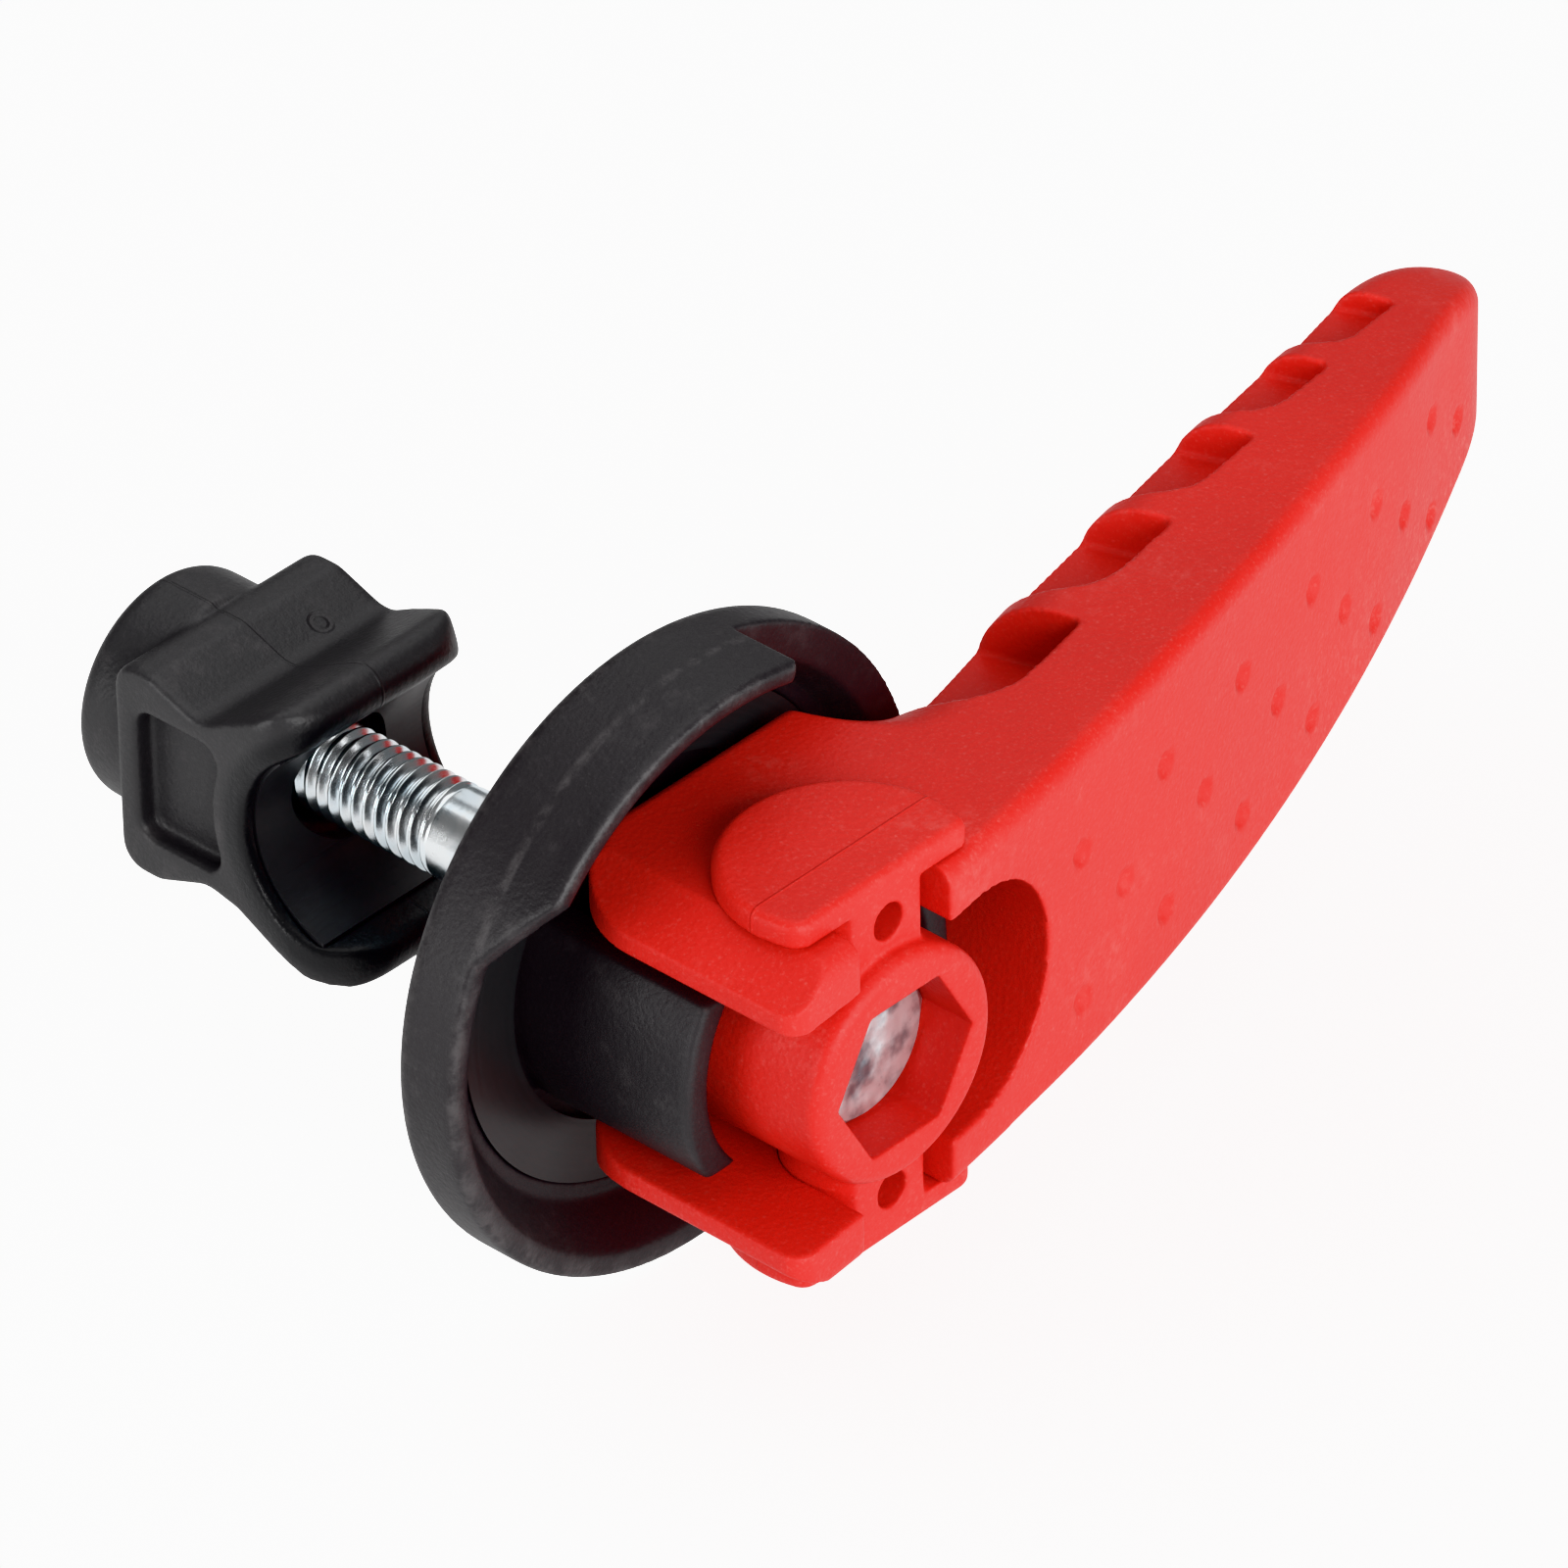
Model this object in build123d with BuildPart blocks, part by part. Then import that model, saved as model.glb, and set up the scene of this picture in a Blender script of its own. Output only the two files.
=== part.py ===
from build123d import *
import math
import os

# Quick-release cam-lever clamp for a tube. Millimetres, +Z up.
# The origin is where the axis of the held tube (along Y) crosses the axis of the bolt (along X).
# The jaw cradles the tube on the -X side. The dish, the barrel and the lever follow toward +X.
# The lever turns about a vertical axis through the barrel and is drawn closed, along +Y.

# Bolt, with an M8 thread and its standard hexagon head
bolt_radius = 4.0
thread_pitch = 1.25
thread_depth = 0.62
thread_end_x = 4.6
bolt_tip_inset = 1.7
head_across_flats = 13.0
head_height = 5.3
head_seat_x = 41.8

# Clearances
running_fit = 0.05
swing_gap = 0.3
slide_gap = 0.3
head_fit = 0.12
bore_gap = 0.6
handle_gap = 0.9

# Jaw: the block, its saddle for the tube and the boss for the threaded insert
saddle_radius = 9.0
pad_thickness = 1.2
pad_margin = 1.6
pad_end_angle = 13.0
pad_hole_gap = 0.9
jaw_width = 21.8
jaw_back_wall = 13.9
jaw_half_height = 9.8
waist_half_height = 7.8
waist_wall = 4.4
upper_lip_angle = 119.0
lower_lip_angle = 270.0
upper_lip_thickness = 4.2
lower_lip_thickness = 3.6
upper_lip_corner = 5.0
lower_lip_corner = 7.0
boss_radius = 10.0
boss_length = 5.8
insert_wall = 2.5
insert_length = 10.4
insert_recess = 0.5
pocket_depth = 1.9
pocket_rim = 2.4
pocket_half_height = 6.0

# Dish that presses on the tube, with its rim, hood and two guide tongues
dish_radius = 27.3
dish_back_x = 21.7
dish_back_radius = 24.0
dish_rim_back_x = 23.7
dish_floor_x = 23.8
dish_rim_front_x = 29.3
dish_rim_thickness = 1.9
dish_edge_round = 0.6
dish_hood_front_x = 34.5
dish_gap_angle = 75.0
hood_end_angle = 138.0
hood_ramp_angle = 153.0
tongue_gap = 2.3
tongue_wall = 2.6
tongue_half_height = 8.2
tongue_end_x = 42.4
wear_ring_thickness = 1.0
wear_ring_radius = 21.0
wear_ring_gap = 0.6

# Barrel that carries the bolt head, with its two trunnion arms and end flanges
pivot_x = 45.4
barrel_radius = 10.1
barrel_back_x = 33.0
barrel_front_x = 51.4
barrel_edge_round = 1.3
arm_radius = 5.6
arm_flat = 4.1
flange_radius = 10.3
flange_thickness = 2.2
flange_edge_round = 0.9
core_hole_radius = 1.6
core_hole_depth = 6.5

# Lever: the cam, the fork with its two ears, and the curved handle
ear_wall = 4.6
near_slope = 2.4
near_end_y = -13.8
cam_reach = 19.4
cam_corner_radius = 9.5
ear_front_x = 52.8
slot_end_y = 19.5
slot_end_flat = 0.4
lever_length = 105.5
lever_edge_round = 1.6
fork_y = 14.0
join_step = 0.03
neck_y = 23.5
tip_reach = 7.0
tip_length = 4.0
tip_narrowing = 6.1
tip_rounding_loss = 5.0
brow_x = 5.6
brow_y = 6.0
handle_drop = 22.0
handle_bow = 3.3
grip_start_x = 29.2
grip_slope = 0.21
grip_round = 8.0
pocket_count = 5
pocket_start_y = 20.5
pocket_end_gap = 5.9
pocket_shrink = 1.2
ridge_thickness = 2.3
ridge_lean = 0.9
pocket_reach = 1.6
pocket_drop_share = 0.75
pocket_near_share = 0.8
pocket_far_round = 0.8
dimple_radius = 1.9
dimple_depth = 0.6
dimple_rows = 6
dimple_first_y = 24.5
dimple_end_gap = 7.5
dimple_spread = 7.0
dimple_drop = 1.7

# Sizes that follow from those above
slot_half = barrel_radius + swing_gap
ear_outer = slot_half + ear_wall
flange_inner = ear_outer + swing_gap / 2
flange_outer = flange_inner + flange_thickness
pad_outer = saddle_radius + pad_thickness
upper_lip_radius = saddle_radius + upper_lip_thickness
lower_lip_radius = saddle_radius + lower_lip_thickness
jaw_back_x = -saddle_radius - jaw_back_wall
waist_x = -saddle_radius - waist_wall
boss_end_x = jaw_back_x - boss_length
boss_bore_radius = bolt_radius + bore_gap
insert_radius = bolt_radius + insert_wall
bolt_tip_x = boss_end_x + bolt_tip_inset
tongue_inner = barrel_radius + tongue_gap
tongue_radius = tongue_inner + tongue_wall
wear_ring_bore = tongue_radius + wear_ring_gap
cam_face_x = pivot_x - cam_reach
shoulder_y = lever_length - tip_reach
dish_gap_front_x = grip_start_x - grip_slope * (dish_radius - neck_y) - handle_gap


def ring_point(radius, angle):
    """A point on a circle about the tube's axis, angle in degrees from +X toward +Z."""
    return (radius * math.cos(math.radians(angle)), radius * math.sin(math.radians(angle)))


# Jaw
mid_lip_angle = (upper_lip_angle + lower_lip_angle) / 2
upper_bulge = math.degrees(upper_lip_thickness / 2 / (saddle_radius + upper_lip_thickness / 2))
lower_bulge = math.degrees(lower_lip_thickness / 2 / (saddle_radius + lower_lip_thickness / 2))
with BuildPart() as jaw:
    with BuildSketch(Plane.XZ) as jaw_side:
        with BuildLine() as jaw_outline:
            saddle = ThreePointArc(
                ring_point(saddle_radius, upper_lip_angle),
                ring_point(saddle_radius, mid_lip_angle),
                ring_point(saddle_radius, lower_lip_angle),
            )
            lower_end = ThreePointArc(
                saddle @ 1,
                ring_point(saddle_radius + lower_lip_thickness / 2, lower_lip_angle + lower_bulge),
                ring_point(lower_lip_radius, lower_lip_angle),
            )
            upper_end = ThreePointArc(
                ring_point(upper_lip_radius, upper_lip_angle),
                ring_point(saddle_radius + upper_lip_thickness / 2, upper_lip_angle - upper_bulge),
                saddle @ 0,
            )
            Polyline(
                lower_end @ 1,
                ring_point(lower_lip_radius, lower_lip_angle - 15),
                (waist_x + 3.2, -waist_half_height - 0.7),
                (waist_x, -waist_half_height),
                (jaw_back_x + 4.2, -jaw_half_height),
                (jaw_back_x, -jaw_half_height),
                (jaw_back_x, jaw_half_height),
                (jaw_back_x + 4.2, jaw_half_height),
                (waist_x, waist_half_height),
                upper_end @ 0,
            )
        make_face()
        fillet(jaw_side.vertices().group_by(Axis.X)[0], 2.4)
        waist = jaw_side.vertices().filter_by_position(Axis.X, waist_x - 0.1, waist_x + 0.1)
        fillet(waist, 3.0)
    extrude(amount=jaw_width / 2, both=True)
    fillet(jaw.faces().sort_by(Axis.Y)[0].edges(), 0.7)
    fillet(jaw.faces().sort_by(Axis.Y)[-1].edges(), 0.7)
    # Rounded corners of both lips
    for lip_angle, inward, corner_round in (
        (upper_lip_angle - upper_bulge, 1, upper_lip_corner),
        (lower_lip_angle + lower_bulge, -1, lower_lip_corner),
    ):
        lip_x, lip_z = ring_point(saddle_radius, lip_angle)
        out_x, out_z = ring_point(1, lip_angle)
        lip_plane = Plane(origin=(lip_x, 0, lip_z), x_dir=(0, 1, 0), z_dir=(out_x, 0, out_z))
        for side in (-1, 1):
            corner = side * jaw_width / 2
            with BuildSketch(lip_plane):
                with Locations((corner, 0)):
                    Rectangle(2 * corner_round, 2 * corner_round)
                with Locations((corner - side * corner_round, inward * corner_round)):
                    Circle(corner_round, mode=Mode.SUBTRACT)
            extrude(amount=upper_lip_radius / 2, both=True, mode=Mode.SUBTRACT)
    # Recess for the liner
    with BuildSketch(Plane.XZ):
        with BuildLine():
            recess_arc = ThreePointArc(
                ring_point(pad_outer, upper_lip_angle + pad_end_angle),
                ring_point(pad_outer, mid_lip_angle),
                ring_point(pad_outer, lower_lip_angle - pad_end_angle),
            )
            Polyline(
                recess_arc @ 1,
                ring_point(saddle_radius - 1, lower_lip_angle - pad_end_angle),
                (0, 0),
                ring_point(saddle_radius - 1, upper_lip_angle + pad_end_angle),
                recess_arc @ 0,
            )
        make_face()
    extrude(amount=jaw_width / 2 - pad_margin, both=True, mode=Mode.SUBTRACT)
    # Round boss behind the block
    with BuildSketch(Plane.YZ.offset(boss_end_x)):
        Circle(boss_radius)
    extrude(amount=boss_length + 1)
    fillet(jaw.edges().filter_by(GeomType.CIRCLE).group_by(Axis.X)[0], 1.8)
    # Lightening pocket in each side, its front wall following the saddle
    for side in (-1, 1):
        with BuildSketch(Plane.XZ.offset(-side * (jaw_width / 2 - pocket_depth))) as pocket:
            with Locations((jaw_back_x / 2, 0)):
                Rectangle(-jaw_back_x - 2 * pocket_rim, 2 * pocket_half_height)
            Circle(pad_outer + pocket_rim, mode=Mode.SUBTRACT)
            fillet(pocket.vertices(), 1.6)
        extrude(amount=-side * pocket_depth * 2, mode=Mode.SUBTRACT)
        pocket_side = jaw.faces().sort_by(Axis.Y)[0 if side < 0 else -1]
        fillet(pocket_side.inner_wires()[0].edges(), 0.6)
    # Bore for the bolt and the seat of the insert, open at the boss's end
    with BuildSketch(Plane.YZ.offset(boss_end_x - 1)):
        Circle(boss_bore_radius)
    extrude(amount=boss_length - jaw_back_x, mode=Mode.SUBTRACT)
    with BuildSketch(Plane.YZ.offset(boss_end_x - 1)):
        Circle(insert_radius + running_fit)
    extrude(amount=1 + insert_recess + insert_length, mode=Mode.SUBTRACT)
jaw.part.label = "jaw"

# Rubber pad let into the saddle, flush with it
with BuildPart() as saddle_pad:
    with BuildSketch(Plane.XZ) as pad_side:
        with BuildLine():
            outer_arc = ThreePointArc(
                ring_point(pad_outer, upper_lip_angle + pad_end_angle),
                ring_point(pad_outer, mid_lip_angle),
                ring_point(pad_outer, lower_lip_angle - pad_end_angle),
            )
            inner_arc = ThreePointArc(
                ring_point(saddle_radius, upper_lip_angle + pad_end_angle),
                ring_point(saddle_radius, mid_lip_angle),
                ring_point(saddle_radius, lower_lip_angle - pad_end_angle),
            )
            Line(outer_arc @ 0, inner_arc @ 0)
            Line(outer_arc @ 1, inner_arc @ 1)
        make_face()
    extrude(amount=jaw_width / 2 - pad_margin, both=True)
    with BuildSketch(Plane.YZ.offset(-pad_outer - 1)):
        Circle(boss_bore_radius + pad_hole_gap)
    extrude(amount=pad_outer, mode=Mode.SUBTRACT)
saddle_pad.part.label = "saddle_pad"

# Threaded insert in the boss, with two grip grooves round it
insert_x = boss_end_x + insert_recess
with BuildPart() as threaded_insert:
    with BuildSketch(Plane.YZ.offset(insert_x)):
        Circle(insert_radius)
        Circle(bolt_radius + running_fit, mode=Mode.SUBTRACT)
    extrude(amount=insert_length - running_fit)
    for share in (0.3, 0.6):
        with BuildSketch(Plane.YZ.offset(insert_x + insert_length * share)):
            Circle(insert_radius + 1)
            Circle(insert_radius - 0.6, mode=Mode.SUBTRACT)
        extrude(amount=1.1, mode=Mode.SUBTRACT)
    chamfer(threaded_insert.edges().filter_by(GeomType.CIRCLE).group_by(Axis.X)[0], 0.3)
threaded_insert.part.label = "threaded_insert"

# Bolt: the head, the plain shank and the thread, drawn as even rings
thread_rows = int((thread_end_x - bolt_tip_x - 1.0) / thread_pitch)
profile = [(head_seat_x, 0), (head_seat_x, bolt_radius), (thread_end_x, bolt_radius)]
for row in range(thread_rows):
    crest_x = thread_end_x - row * thread_pitch
    profile.append((crest_x - thread_pitch * 0.06, bolt_radius))
    profile.append((crest_x - thread_pitch * 0.44, bolt_radius - thread_depth))
    profile.append((crest_x - thread_pitch * 0.56, bolt_radius - thread_depth))
    profile.append((crest_x - thread_pitch * 0.94, bolt_radius))
profile.append((bolt_tip_x + 0.9, bolt_radius))
profile.append((bolt_tip_x, bolt_radius - 0.9))
profile.append((bolt_tip_x, 0))
with BuildPart() as clamp_bolt:
    with BuildSketch(Plane.XY) as bolt_half:
        with BuildLine():
            Polyline(*profile, close=True)
        make_face()
    revolve(axis=Axis.X)
    with BuildSketch(Plane.YZ.offset(head_seat_x)):
        RegularPolygon(head_across_flats / 2, 6, major_radius=False)
    extrude(amount=head_height)
    # Round chamfer of the head
    with BuildSketch(Plane.XY) as head_turn:
        with BuildLine():
            Polyline(
                (head_seat_x + head_height + 0.01, head_across_flats * 0.475),
                (head_seat_x + head_height + 0.01, head_across_flats),
                (head_seat_x + head_height - 3, head_across_flats),
                close=True,
            )
        make_face()
    revolve(axis=Axis.X, mode=Mode.SUBTRACT)
clamp_bolt.part.label = "clamp_bolt"

# Barrel with its arms and flanges
with BuildPart() as trunnion_barrel:
    with BuildSketch(Plane.YZ.offset(barrel_back_x)):
        Circle(barrel_radius)
    extrude(amount=barrel_front_x - barrel_back_x)
    fillet(trunnion_barrel.edges().group_by(Axis.X)[-1], barrel_edge_round)
    chamfer(trunnion_barrel.edges().group_by(Axis.X)[0], 1.2)
    with BuildSketch(Plane.XY) as arm_section:
        with Locations((pivot_x, 0)):
            Circle(arm_radius)
        with Locations((pivot_x + arm_flat + arm_radius, 0)):
            Rectangle(2 * arm_radius, 4 * arm_radius, mode=Mode.SUBTRACT)
    extrude(amount=flange_outer, both=True)
    for side in (-1, 1):
        with BuildSketch(Plane.XY.offset(side * flange_inner)) as flange_section:
            with Locations((pivot_x, 0)):
                Circle(flange_radius)
            with Locations((pivot_x + arm_flat + flange_radius, 0)):
                Rectangle(2 * flange_radius, 4 * flange_radius, mode=Mode.SUBTRACT)
            fillet(flange_section.vertices(), 1.6)
        extrude(amount=side * flange_thickness)
        rim_edges = trunnion_barrel.faces().sort_by(Axis.Z)[0 if side < 0 else -1].edges()
        fillet(rim_edges, flange_edge_round)
        # Teardrop core hole in the arm's flat face
        with BuildSketch(Plane.YZ.offset(pivot_x + arm_flat)) as teardrop:
            hole_z = side * (slot_half + ear_outer) / 2
            with Locations((0.3, hole_z)):
                Circle(core_hole_radius)
                with Locations(Rotation(0, 0, 40)):
                    with BuildLine():
                        Polyline(
                            (core_hole_radius * 0.5, core_hole_radius * 0.866),
                            (core_hole_radius * 2, 0),
                            (core_hole_radius * 0.5, -core_hole_radius * 0.866),
                            close=True,
                        )
                    make_face()
        extrude(amount=-core_hole_depth, mode=Mode.SUBTRACT)
    # Hexagon pocket for the bolt head and the hole for the shank
    with BuildSketch(Plane.YZ.offset(head_seat_x)):
        RegularPolygon(head_across_flats / 2 + head_fit, 6, major_radius=False)
    extrude(amount=barrel_front_x, mode=Mode.SUBTRACT)
    with BuildSketch(Plane.YZ.offset(barrel_back_x - 1)):
        Circle(bolt_radius + head_fit)
    extrude(amount=head_seat_x - barrel_back_x + 2, mode=Mode.SUBTRACT)
trunnion_barrel.part.label = "trunnion_barrel"

# Dish, turned about the bolt, then its hood, the gap for the handle and the tongues
rim_inner = dish_radius - dish_rim_thickness
ring_top_x = dish_floor_x + wear_ring_thickness
with BuildPart() as cam_dish:
    with BuildSketch(Plane.XY) as dish_half:
        with BuildLine():
            Polyline(
                (dish_back_x, bolt_radius + slide_gap),
                (dish_back_x, dish_back_radius),
                (dish_rim_back_x, dish_radius),
                (dish_rim_front_x, dish_radius),
                (dish_rim_front_x, rim_inner),
                (ring_top_x, wear_ring_radius + 1.3),
                (ring_top_x, wear_ring_radius + running_fit),
                (dish_floor_x, wear_ring_radius + running_fit),
                (dish_floor_x, bolt_radius + slide_gap),
                close=True,
            )
        make_face()
        fillet(dish_half.vertices().group_by(Axis.X)[-1], dish_edge_round)
        points = dish_half.vertices()
        fillet(points.filter_by_position(Axis.Y, dish_back_radius - 0.1, dish_back_radius + 0.1), 1.2)
        points = dish_half.vertices()
        rim_back = points.filter_by_position(Axis.X, dish_rim_back_x - 0.1, dish_rim_back_x + 0.05)
        fillet(rim_back.sort_by(Axis.Y)[-1], 1.6)
    revolve(axis=Axis.X)
    with BuildSketch(Plane.YZ.offset(dish_rim_front_x - 1)):
        Circle(dish_radius)
        Circle(rim_inner, mode=Mode.SUBTRACT)
        with BuildLine():
            Polyline(
                (0, 0),
                ring_point(2 * dish_radius, dish_gap_angle),
                ring_point(2 * dish_radius, (dish_gap_angle + hood_ramp_angle) / 2),
                ring_point(2 * dish_radius, hood_ramp_angle),
                close=True,
            )
        make_face(mode=Mode.INTERSECT)
    extrude(amount=dish_hood_front_x - dish_rim_front_x + 1)
    # Ramp where the hood runs down to the low rim
    ramp_middle = (hood_end_angle + hood_ramp_angle) / 2
    ramp_half = dish_radius * math.radians(hood_ramp_angle - hood_end_angle) / 2
    ramp_plane = Plane(
        origin=(dish_rim_front_x, *ring_point(rim_inner - 4, ramp_middle)),
        x_dir=(1, 0, 0),
        z_dir=(0, *ring_point(1, ramp_middle)),
    )
    with BuildSketch(ramp_plane) as ramp:
        with BuildLine():
            Polyline(
                (0, -ramp_half),
                (dish_hood_front_x - dish_rim_front_x, ramp_half),
                (dish_hood_front_x - dish_rim_front_x + 3, ramp_half),
                (dish_hood_front_x - dish_rim_front_x + 3, -3 * ramp_half),
                (0, -3 * ramp_half),
                close=True,
            )
        make_face()
    extrude(amount=10, mode=Mode.SUBTRACT)
    # Gap in the rim for the handle
    with BuildSketch(Plane.YZ.offset(dish_gap_front_x)):
        with BuildLine():
            Polyline(
                (0, 0),
                ring_point(2 * dish_radius, -dish_gap_angle),
                (4 * dish_radius, 0),
                ring_point(2 * dish_radius, dish_gap_angle),
                close=True,
            )
        make_face()
        Circle(wear_ring_radius + 1, mode=Mode.SUBTRACT)
    extrude(amount=dish_hood_front_x, mode=Mode.SUBTRACT)
    fillet(cam_dish.faces().sort_by(Axis.X)[-1].edges(), dish_edge_round)
    # Guide tongues on both sides of the barrel
    with BuildSketch(Plane.YZ.offset(dish_floor_x - 0.5)):
        Circle(tongue_radius)
        Circle(tongue_inner, mode=Mode.SUBTRACT)
        Rectangle(4 * tongue_radius, 2 * tongue_half_height, mode=Mode.INTERSECT)
    extrude(amount=tongue_end_x - dish_floor_x + 0.5)
    fillet(cam_dish.faces().group_by(Axis.X)[-1].edges(), dish_edge_round)
cam_dish.part.label = "cam_dish"

# Wear ring on the dish's floor, where the cam slides
with BuildPart() as wear_ring:
    with BuildSketch(Plane.YZ.offset(dish_floor_x)):
        Circle(wear_ring_radius)
        Circle(wear_ring_bore, mode=Mode.SUBTRACT)
    extrude(amount=wear_ring_thickness)
wear_ring.part.label = "wear_ring"

# Lever: outer line of the handle, and its width, depth and roundings at a given distance from the pivot
brow = Vector(pivot_x + brow_x, brow_y)
tip_point = Vector(pivot_x - handle_drop, shoulder_y)
chord = tip_point - brow
bow_point = (brow + tip_point) * 0.5 + Vector(chord.Y, -chord.X).normalized() * handle_bow
with BuildLine() as handle_line:
    outer_curve = ThreePointArc(brow, bow_point, tip_point)
outer_centre = outer_curve.arc_center
outer_bend = outer_curve.radius


def handle_outer(y):
    return outer_centre.X + math.sqrt(outer_bend**2 - (y - outer_centre.Y) ** 2)


def handle_inner(y):
    return grip_start_x - grip_slope * (y - neck_y)


def handle_part(y):
    return max(0, (y - neck_y) / (shoulder_y - neck_y))


def handle_half_width(y):
    return ear_outer - tip_narrowing * handle_part(y) ** 2.2


def handle_rounding(y):
    return grip_round - tip_rounding_loss * handle_part(y)


# Length of the first finger pocket, so that all of them and their ridges fill the grip
pocket_room = shoulder_y - pocket_end_gap - pocket_start_y - (pocket_count - 1) * ridge_thickness
pocket_length = pocket_room / pocket_count + pocket_shrink * (pocket_count - 1) / 2
dimple_pitch = (shoulder_y - dimple_end_gap - dimple_first_y) / (dimple_rows - 1)
section_ys = [neck_y + (shoulder_y - neck_y) * k / 6 for k in range(7)]
with BuildPart() as lever:
    # Fork block with the cam
    with BuildSketch(Plane.XY) as fork_plan:
        with BuildLine():
            Polyline(
                (handle_outer(fork_y), fork_y),
                (cam_face_x, fork_y),
                (cam_face_x, near_end_y),
                (ear_front_x, near_end_y),
                outer_curve @ 0,
            )
            ThreePointArc(
                outer_curve @ 0,
                (handle_outer((brow_y + fork_y) / 2), (brow_y + fork_y) / 2),
                (handle_outer(fork_y), fork_y),
            )
        make_face()
        fillet(fork_plan.vertices().sort_by(Axis.Y)[:2].sort_by(Axis.X)[0], cam_corner_radius)
        fillet(fork_plan.vertices().group_by(Axis.X)[-1].sort_by(Axis.Y)[0], 1.8)
    extrude(amount=ear_outer, both=True)
    fork_rim = lever.faces().filter_by(Axis.Z).edges()
    fillet(fork_rim - fork_rim.filter_by_position(Axis.Y, fork_y - 0.1, fork_y + 0.1), lever_edge_round)
    # Slope at the near end of each ear
    with BuildSketch(Plane.YZ):
        with BuildLine():
            Polyline(
                (near_end_y - 1, ear_outer - 1.4 * near_slope),
                (near_end_y + 2 * near_slope, ear_outer),
                (near_end_y + 2 * near_slope, ear_outer + 1),
                (near_end_y - 1, ear_outer + 1),
                close=True,
            )
        make_face()
        mirror(about=Plane.XZ)
    extrude(amount=3 * pivot_x, mode=Mode.SUBTRACT)
    # Handle through sections square to its length
    with BuildSketch(Plane(origin=(0, fork_y, 0), x_dir=(1, 0, 0), z_dir=(0, -1, 0))) as fork_end:
        fork_depth = handle_outer(fork_y) - cam_face_x
        with Locations((cam_face_x + fork_depth / 2, 0)):
            Rectangle(fork_depth - 2 * join_step, 2 * (ear_outer - join_step))
        fillet(fork_end.vertices(), lever_edge_round)
    for y in section_ys:
        with BuildSketch(Plane(origin=(0, y, 0), x_dir=(1, 0, 0), z_dir=(0, -1, 0))) as section:
            depth = handle_outer(y) - handle_inner(y)
            with Locations((handle_outer(y) - depth / 2, 0)):
                Rectangle(depth, 2 * handle_half_width(y))
            fillet(section.vertices().group_by(Axis.X)[0], handle_rounding(y))
            fillet(section.vertices().group_by(Axis.X)[-1], lever_edge_round)
    tip_y = shoulder_y + tip_length
    with BuildSketch(Plane(origin=(0, tip_y, 0), x_dir=(1, 0, 0), z_dir=(0, -1, 0))) as tip_mid:
        mid_depth = handle_outer(tip_y) - handle_inner(shoulder_y)
        with Locations((handle_inner(shoulder_y) + mid_depth / 2, 0)):
            Rectangle(mid_depth, 2 * (handle_half_width(shoulder_y) - 1.3))
        fillet(tip_mid.vertices().group_by(Axis.X)[0], 3.2)
        fillet(tip_mid.vertices().group_by(Axis.X)[-1], lever_edge_round)
    with BuildSketch(Plane(origin=(0, lever_length, 0), x_dir=(1, 0, 0), z_dir=(0, -1, 0))) as tip_end:
        end_depth = handle_outer(lever_length) - handle_inner(shoulder_y) - 3.4
        with Locations((handle_inner(shoulder_y) + 2.2 + end_depth / 2, 0)):
            Rectangle(end_depth, 2 * (handle_half_width(shoulder_y) - 3.0))
        fillet(tip_end.vertices(), 1.4)
    loft()
    # Slot between the ears, with a rounded end toward the handle
    with BuildSketch(Plane.YZ) as slot:
        with Locations((slot_end_y + 2 * near_end_y, 0)):
            Rectangle(-4 * near_end_y, 2 * slot_half)
        fillet(slot.vertices().group_by(Axis.X)[-1], slot_half - slot_end_flat / 2)
    extrude(amount=2 * pivot_x, mode=Mode.SUBTRACT)
    # Notch in each ear for the trunnion arms, open toward the front
    with BuildSketch(Plane.XY):
        with Locations((pivot_x, 0)):
            Circle(arm_radius + running_fit)
        with Locations((pivot_x + arm_radius * 2, 0)):
            Rectangle(arm_radius * 4, 2 * (arm_radius + running_fit))
    extrude(amount=2 * ear_outer, both=True, mode=Mode.SUBTRACT)
    # Finger pockets let into both flanks along the belly, with a ridge between each two
    pocket_y = pocket_start_y
    for k in range(pocket_count):
        half_length = (pocket_length - pocket_shrink * k) / 2
        middle_y = pocket_y + half_length
        pocket_y = pocket_y + 2 * half_length + ridge_thickness
        rounding = handle_rounding(middle_y)
        pocket_back = rounding + pocket_reach
        pocket_floor_z = handle_half_width(middle_y) - pocket_drop_share * rounding
        for side in (-1, 1):
            pocket_plane = Plane(
                origin=(handle_inner(middle_y), middle_y, side * pocket_floor_z),
                x_dir=(1, grip_slope, 0),
                z_dir=(0, 0, side),
            )
            with BuildSketch(pocket_plane) as finger_pocket:
                with BuildLine():
                    Polyline(
                        (-pocket_back, -side * (half_length + ridge_lean)),
                        (pocket_back, -side * (half_length - ridge_lean)),
                        (pocket_back, side * (half_length + ridge_lean)),
                        (-pocket_back, side * (half_length - ridge_lean)),
                        close=True,
                    )
                make_face()
                corners = finger_pocket.vertices().group_by(Axis.X)[-1].sort_by(Axis.Y)
                near_corner = corners[0 if side > 0 else 1]
                fillet(near_corner, pocket_near_share * pocket_back)
                corners = finger_pocket.vertices().group_by(Axis.X)[-1].sort_by(Axis.Y)
                fillet(corners[-1 if side > 0 else 0], pocket_far_round)
            extrude(amount=2 * ear_outer, mode=Mode.SUBTRACT)
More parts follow.
